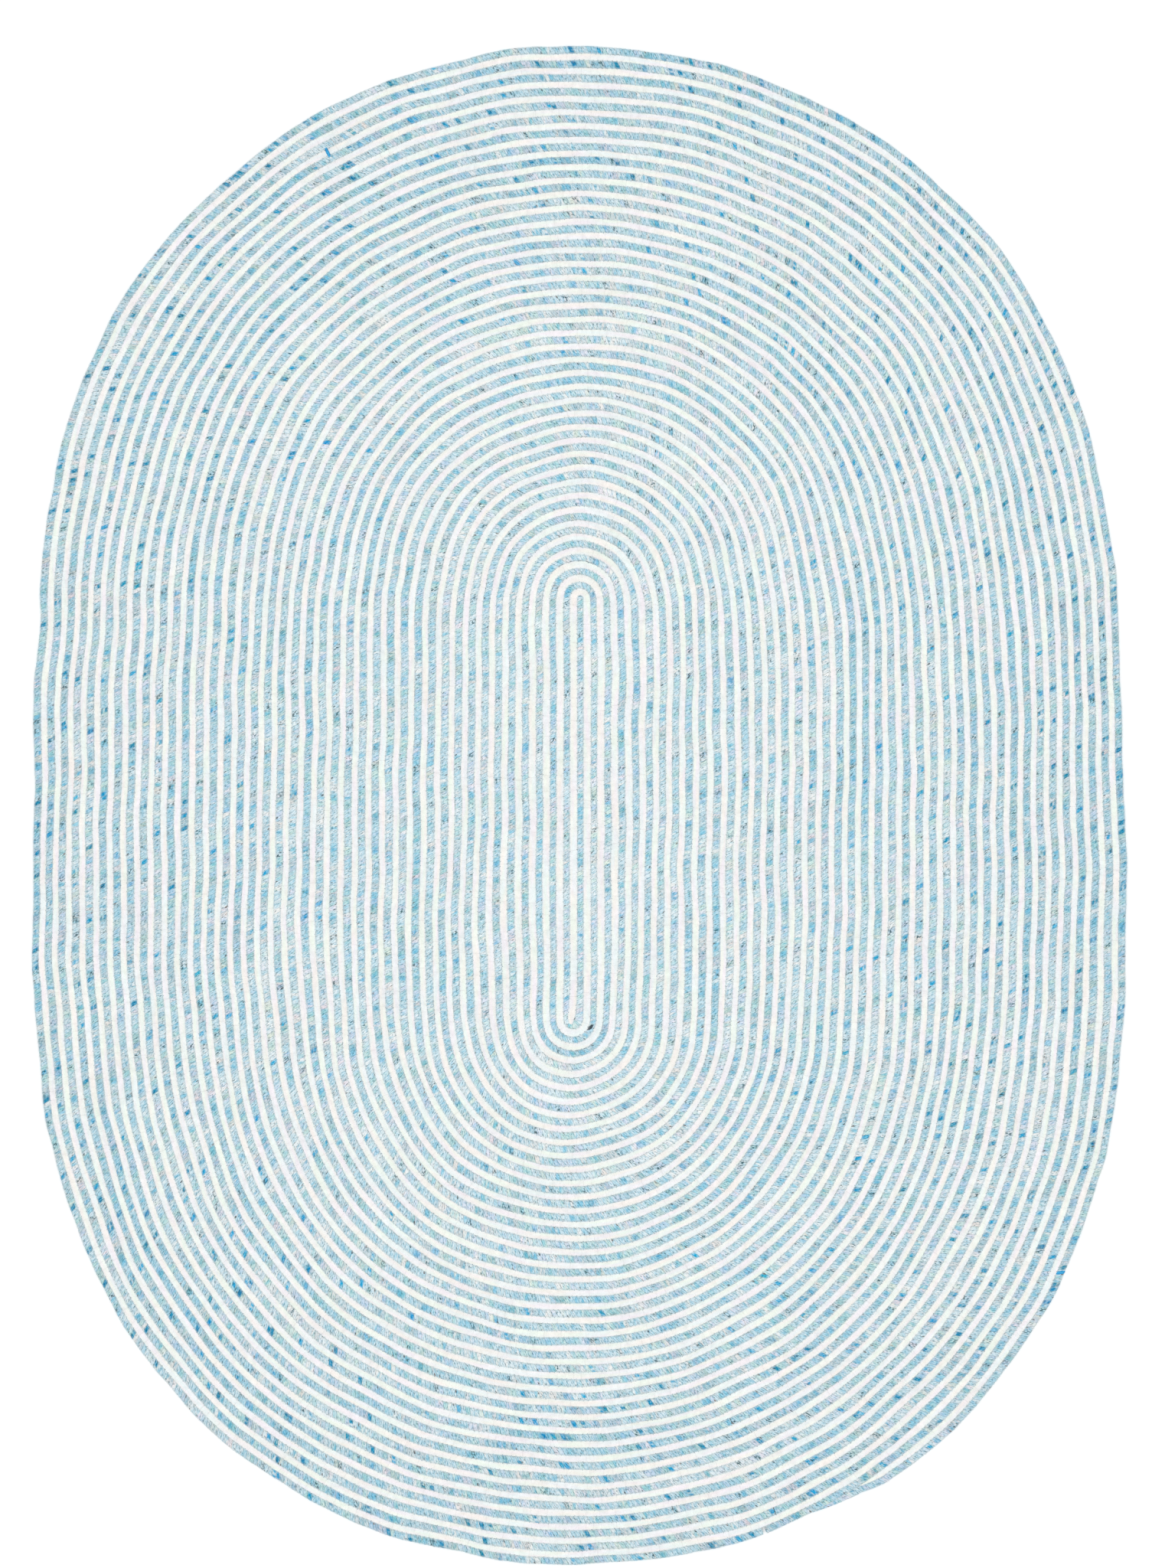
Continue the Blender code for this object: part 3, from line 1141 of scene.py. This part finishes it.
@dataclass(frozen=True)
class SmoothYarn:
    """Ivory yarn: nearly plain, faint threads across it, and needle holes of painted shade along its edges.
    """

    cord: Cord
    warm: Colour = display(238, 232, 233)
    cool: Colour = display(229, 238, 234)
    yellow: Colour = display(253, 253, 247)
    bluish: Colour = display(250, 250, 255)
    fuzz: Colour = display(196, 220, 230)
    thread: Colour = display(190, 182, 182)
    # Painted shade in the needle holes
    hole: Colour = display(150, 166, 172)
    fuzz_share: float = 0.35
    thread_share: float = 0.22
    thread_pitch: float = 0.0107
    thread_relief: float = 0.4
    hole_share: float = 0.95
    hole_pitch: float = 0.0064
    hole_size: float = 0.0008
    edge_share: float = 0.86
    brightness: float = 1.014
    by_fibre: float = 0.34
    by_patch: float = 0.22
    by_length: float = 0.18
    relief: float = 0.0002

    def make(self) -> bpy.types.Material:
        """Builds the finish.

        Returns:
            The material.
        """
        graph = Graph("ivory_yarn_finish", 0.9)
        around, along = graph.along_and_round()
        girth = self.cord.girth()
        tint, other = (graph.cloud(along / 0.05, around * 4.0, seed) for seed in (1.0, 31.0))
        colour = graph.blend(tint.rise(0.28, 0.72), self.cool, self.warm)
        colour = graph.filter(colour, graph.blend(other.rise(0.34, 0.66), self.yellow, self.bluish))
        threads = self.threads(graph, along)
        colour = graph.blend(threads * self.thread_share, colour, self.thread)
        side = abs(around - self.cord.crown_middle()) * (girth / self.cord.width)
        fuzzy = side.rise(0.30, 0.52) * (1.0 - side.rise(0.54, 0.74)) * self.fuzz_share
        colour = graph.blend(fuzzy, colour, self.fuzz)
        # Needle holes: dots of painted shade
        for hole in self.holes(graph, around, along):
            colour = graph.blend(hole * self.hole_share, colour, self.hole)
        fibre = graph.cloud(along / 0.0016, around * (girth / 0.0012), 2.0)
        patch = graph.cloud(along / 0.009, around * 5.0, 12.0, 1.0)
        length = graph.cloud(along / 0.15, 0.0, 14.0)
        light = self.brightness + (fibre - 0.5) * self.by_fibre + (patch - 0.5) * self.by_patch
        colour = graph.dim(colour, light + (length - 0.5) * self.by_length)
        return graph.finish(colour, fibre - threads * self.thread_relief, self.relief)

    def threads(self, graph: Graph, along: Shade) -> Shade:
        """The faint cross threads: a line at every thread pitch, give or take a slow wave, worn in places."""
        wave = graph.cloud(along / 0.03, 0.0, 9.0)
        off_line = abs(((along + wave * 0.012) / self.thread_pitch).within(1.0) - 0.5)
        worn = graph.cloud(along / 0.012, 0.0, 4.0).rise(0.4, 0.6)
        return (1.0 - off_line.rise(0.02, 0.07)) * worn

    def holes(self, graph: Graph, around: Shade, along: Shade) -> list[Shade]:
        """The needle holes: one row along each rim of the top, the two rows half a pitch apart.

        Args:
            graph: The material's node tree.
            around: How far round the section the surface is.
            along: How far along the cord the surface is.

        Returns:
            Where each row's holes are, each hole as deep as its own random number.
        """
        middle, girth = self.cord.crown_middle(), self.cord.girth()
        half_top = self.edge_share * self.cord.width / 2 / girth
        rows = []
        for rim, shift in ((middle - half_top, 0.0), (middle + half_top, 0.5)):
            side = (around - rim) * (girth / self.hole_size)
            count = along / self.hole_pitch + shift
            step = (count - count.whole()) * (self.hole_pitch / self.hole_size)
            rows.append((1.0 - (side * side + step * step).rise(0.2, 1.4)) * graph.chance(count.whole()))
        return rows


@dataclass(frozen=True)
class LooseYarn:
    """A single azure yarn that comes to the surface."""

    light: Colour = display(72, 180, 226)
    deep: Colour = display(34, 126, 188)

    def make(self) -> bpy.types.Material:
        """Builds the finish.

        Returns:
            The material.
        """
        graph = Graph("azure_yarn", 0.8)
        around, along = graph.along_and_round()
        fibre = graph.cloud(along / 0.004, around * 16.0, 2.0)
        colour = graph.blend(fibre.rise(0.35, 0.65), self.deep, self.light)
        return graph.finish(colour, fibre, 0.0003)


@dataclass(frozen=True)
class PaleFloor:
    """A plain white floor."""

    half_width: float = 90.0
    drop: float = 0.0004
    colour: Colour = (0.96, 0.96, 0.96, 1.0)

    def build(self) -> None:
        """Lays the floor just under the rug."""
        finish = Graph("white_floor", 1.0, gloss=0.0)
        finish.shader.inputs["Base Color"].default_value = self.colour
        corners = [(-1, -1), (1, -1), (1, 1), (-1, 1)]
        mesh = bpy.data.meshes.new("floor")
        points = [(x * self.half_width, y * self.half_width, -self.drop) for x, y in corners]
        mesh.from_pydata(points, [], [(0, 1, 2, 3)])
        mesh.materials.append(finish.material)
        floor = put("floor", mesh)


# ---------------------------------------------------------------------------------------------------------
# Sub-assemblies


@dataclass(frozen=True)
class BlueCord:
    """The heathered cord, cut once where its edge round begins, and made in lengths of a few rounds."""

    width: float = 0.0102
    height: float = 0.0090
    start: float = -0.0030
    core_extra: float = -0.0016
    ivory_width: float = 0.0093
    cut_bend: int = 79
    cut_deg: float = 69.5
    cut_gap: float = 0.0055
    last_bends: tuple[tuple[str, int], ...] = (
        # name, last whole bend
        ("blue_core_rounds", 34),
        ("blue_inner_rounds", 52),
        ("blue_middle_rounds", 67),
    )
    core_fill: tuple[tuple[float, float], ...] = (
        # length past the first bend's start, how much further in the cord's inner side reaches
        (-0.045, 0.0),
        (-0.020, 0.0012),
        (0.0, 0.0032),
        (0.012, 0.0042),
        (0.024, 0.0012),
        (0.030, 0.0),
    )
    splice_bend: int = 77
    splice_deg: float = 67.8

    def cord(self) -> Cord:
        """The cord's section and lay."""
        winding = Winding(Yarn.BLUE)
        return Cord(
            winding,
            self.width,
            self.height,
            plies=3,
            core_fill=self.core_fill,
            core_extra=self.core_extra,
            beside_width=self.ivory_width,
        )

    def build(self) -> list[bpy.types.Object]:
        """Makes the lengths of cord.

        Returns:
            The pieces, from the core outwards.
        """
        cord = self.cord()
        material = RopedYarn(cord).make()
        place = cord.winding.length_at
        splice, cut = place(self.splice_bend, self.splice_deg), place(self.cut_bend, self.cut_deg)
        tip = place(cord.winding.last_bend, OUTER_ENDS[-1][0])
        lengths, start, first_end = [], self.start, End.CUT
        for name, bend in self.last_bends:
            end = place(bend, cord.winding.bend_way)
            lengths.append(CordLength(name, "blue_cord", cord, start, end, first_end))
            start, first_end = end, End.JOINED
        half = self.cut_gap / 2
        bulge = End.CUT.value
        lengths += [
            CordLength("blue_outer_rounds", "blue_cord", cord, start, splice - bulge, last_end=End.CUT),
            CordLength("blue_joined_round", "blue_cord", cord, splice + bulge, cut - half, End.CUT, End.CUT),
            CordLength("blue_edge_round", "blue_edge_cord", cord, cut + half, tip, End.CUT, End.ROUNDED),
        ]
        return [length.build(material) for length in lengths]


@dataclass(frozen=True)
class IvoryCord:
    """The smooth cord, cut once near the outer edge."""

    width: float = 0.0093
    height: float = 0.0088
    core_extra: float = 0.0016
    start: float = -0.0068
    start_lean: float = 0.0033
    start_rise: float = 0.08
    cut_bend: int = 75
    cut_deg: float = 60.5
    cut_gap: float = 0.0056
    tip_deg: float = 58.4
    start_widths: tuple[tuple[float, float], ...] = (
        # length along the cord, share of the width: the core's end is drawn to a point
        (-0.0068, 0.40),
        (-0.0027, 0.70),
        (0.0021, 0.88),
        (0.0060, 1.00),
    )

    def cord(self) -> Cord:
        """The cord's section, and how its pointed start leans and lies over the blue cord's first bend."""
        return Cord(
            Winding(Yarn.IVORY),
            self.width,
            self.height,
            start_widths=self.start_widths,
            start_lean=self.start_lean,
            start_rise=self.start_rise,
            core_extra=self.core_extra,
        )

    def build(self) -> list[bpy.types.Object]:
        """Makes the two lengths of cord.

        Returns:
            The long inner length, then the outer one.
        """
        cord = self.cord()
        cut = cord.winding.length_at(self.cut_bend, self.cut_deg)
        tip = cord.winding.length_at(cord.winding.last_bend, self.tip_deg)
        half, ends = self.cut_gap / 2, (End.ROUNDED, End.ROUNDED)
        lengths = [
            CordLength("ivory_rounds", "ivory_cord", cord, self.start, cut - half, *ends),
            CordLength("ivory_outer_rounds", "ivory_outer_cord", cord, cut + half, tip, *ends),
        ]
        material = SmoothYarn(cord).make()
        return [length.build(material) for length in lengths]


@dataclass(frozen=True)
class LooseStrand:
    """A single ply that comes to the surface and lies across a strip.

    Its middle line runs from one side of the strip to the other. With u from -1 to 1 across the strip, the
    line lies at u times half the reach, and its height falls from the crown to the foot with the fourth
    power of u. Its section is an ellipse with two twisted ridges, and it shrinks to a point at both ends.
    """

    name: str
    winding: Winding
    length: float
    half_reach: float
    slant: float
    width: float
    thickness: float
    crown: float = 0.0084
    foot: float = 0.0075
    ridge: float = 0.08
    ridge_twist: float = 7.0
    bluntness: int = 6
    steps: int = 26
    ring: int = 14

    def build(self, material: bpy.types.Material) -> bpy.types.Object:
        """Makes the strand as a closed tube.

        Args:
            material: Its finish.

        Returns:
            The piece.
        """
        u = np.linspace(-1, 1, self.steps)[:, None]
        turn = (np.arange(self.ring) * 2 * math.pi / self.ring)[None, :]
        size = np.sqrt(np.clip(1 - np.abs(u) ** self.bluntness, 0, 1))
        ridges = 1 + self.ridge * np.cos(2 * turn + self.ridge_twist * u)
        beside = np.cos(turn) * self.width / 2 * size * ridges
        above = np.sin(turn) * self.thickness / 2 * size * ridges
        offset = u * self.half_reach + np.zeros_like(turn)
        lengths = self.length + self.slant * offset + beside
        level = self.foot + (self.crown - self.foot) * (1 - u**4) + above
        points = np.concatenate([self.winding.place(lengths, offset), level[..., None]], axis=-1)
        tips = points[[0, -1]].mean(axis=1)
        points = np.concatenate([points[1:-1].reshape(-1, 3), tips])
        return Piece(self.name, points, self.faces()).make(material, self.layout())

    def faces(self) -> Array:
        """The tube's triangles, then a fan at each end."""
        rows = self.steps - 2
        ring = np.arange(self.ring)
        after = (ring + 1) % self.ring
        first = np.arange(rows - 1)[:, None] * self.ring
        one = np.stack([first + ring, first + after, first + self.ring + after], axis=-1)
        two = np.stack([first + ring, first + self.ring + after, first + self.ring + ring], axis=-1)
        last = (rows - 1) * self.ring
        low = np.stack([after, ring, np.full(self.ring, rows * self.ring)], axis=-1)
        high = np.stack([ring + last, after + last, np.full(self.ring, rows * self.ring + 1)], axis=-1)
        return np.concatenate([one.reshape(-1, 3), two.reshape(-1, 3), low, high])

    def layout(self) -> Array:
        """How far round and how far along the strand each corner is."""
        faces = self.faces()
        around = (faces % self.ring) / self.ring
        along = (faces // self.ring) / self.steps * 2 * self.half_reach
        return np.stack([around, along], axis=-1)


@dataclass(frozen=True)
class LooseStrands:
    """The two azure strands that stand out, over the ivory cord's joint and on the edge round."""

    edge_bend: int = 81
    edge_deg: float = 27.5

    def build(self, blue: BlueCord, ivory: IvoryCord) -> list[bpy.types.Object]:
        """Makes the strands.

        Args:
            blue: The cord whose edge round holds the slub; not used.
            ivory: The cord whose joint the other strand crosses.

        Returns:
            The pieces.
        """
        azure = LooseYarn().make()
        smooth, roped = Winding(Yarn.IVORY), Winding(Yarn.BLUE)
        joint = smooth.length_at(ivory.cut_bend, ivory.cut_deg)
        slub = roped.length_at(self.edge_bend, self.edge_deg)
        return [
            LooseStrand("joint_strand", smooth, joint, 0.0078, 0.05, 0.0042, 0.0030).build(azure),
            LooseStrand("edge_slub", roped, slub, 0.0056, -0.58, 0.0058, 0.0030).build(azure),
        ]


@dataclass(frozen=True)
class Studio:
    """Soft light from straight above, and the camera over the rug."""

    image: tuple[int, int] = (1522, 2048)
    metres_per_pixel: float = 0.001069
    rug_pixel: tuple[float, float] = (756.0, 1051.6)
    camera_height: float = 5.0
    rug_top: float = 0.008
    farthest: float = 400.0
    sensor: float = 36.0
    overhead: float = 0.86
    surround: float = 0.27
    overhead_spread_deg: float = 70.0
    lamp_height: float = 4.0

    def build(self) -> None:
        """Sets up the light, the world and the camera."""
        light = bpy.data.lights.new("overhead", "SUN")
        light.energy = self.overhead * math.pi
        light.angle = math.radians(self.overhead_spread_deg)
        put("overhead", light).location = (0.0, 0.0, self.lamp_height)
        world = bpy.data.worlds.new("studio")
        world.use_nodes = True
        background = world.node_tree.nodes["Background"]
        background.inputs["Color"].default_value = (1.0, 1.0, 1.0, 1.0)
        background.inputs["Strength"].default_value = self.surround
        bpy.context.scene.world = world
        bpy.context.scene.view_settings.view_transform = "Standard"
        camera_data = bpy.data.cameras.new("camera")
        camera_data.sensor_width = self.sensor
        camera_data.lens = self.sensor * self.camera_height / (self.image[1] * self.metres_per_pixel)
        camera_data.clip_end = self.farthest
        camera = put("camera", camera_data)
        across = (self.image[0] / 2 - self.rug_pixel[0]) * self.metres_per_pixel
        up = (self.rug_pixel[1] - self.image[1] / 2) * self.metres_per_pixel
        camera.location = (across, up, self.camera_height + self.rug_top)
        bpy.context.scene.camera = camera


def main() -> None:
    """Builds the rug, then its surroundings."""
    logging.basicConfig(level=logging.INFO, format="%(message)s")
    blue, ivory = BlueCord(), IvoryCord()
    roped, (sheet, *smooth) = blue.build(), ivory.build()
    loose = LooseStrands().build(blue, ivory)
    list(smooth)
    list(roped)
    PaleFloor().build()
    Studio().build()


if __name__ == "__main__":
    main()
